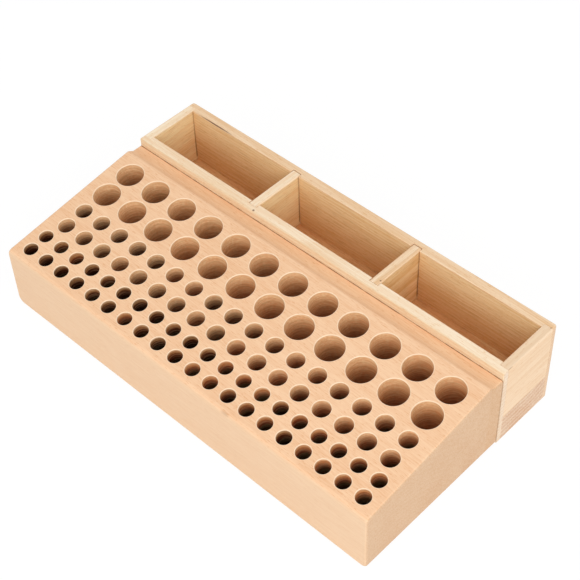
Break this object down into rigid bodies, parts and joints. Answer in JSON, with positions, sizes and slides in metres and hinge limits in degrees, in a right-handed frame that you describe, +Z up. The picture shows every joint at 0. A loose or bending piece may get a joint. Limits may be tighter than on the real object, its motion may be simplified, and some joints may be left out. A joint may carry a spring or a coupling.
{
  "type": "tool storage caddy",
  "caption": "Wooden bench caddy for hand tools: a sloping block drilled with rows of graded tool sockets, backed by an open tray with lift-out dividers.",
  "frame": {"origin": "middle of the underside, on the bench", "axes": "+X to the right along the length, +Y from the sloping block's front to the tray, +Z up"},
  "size_m": [0.255, 0.14, 0.0543],
  "materials": {
    "block_beech": "planed and sanded, bare",
    "board_beech": "planed and sanded, bare"
  },
  "bodies": {
    "caddy": {"tool_block": "block_beech", "front_wall": "board_beech", "rear_wall": "board_beech", "left_end": "board_beech", "right_end": "board_beech", "bottom_board": "board_beech"},
    "left_divider": {"left_divider": "board_beech"},
    "right_divider": {"right_divider": "board_beech"}
  },
  "joints": [
    {"name": "left_divider_lift", "type": "slide", "parent": "caddy", "child": "left_divider", "axis": [0, 0, 1], "range_m": [0, 0.0348]},
    {"name": "right_divider_lift", "type": "slide", "parent": "caddy", "child": "right_divider", "axis": [0, 0, 1], "range_m": [0, 0.0348]}
  ]
}
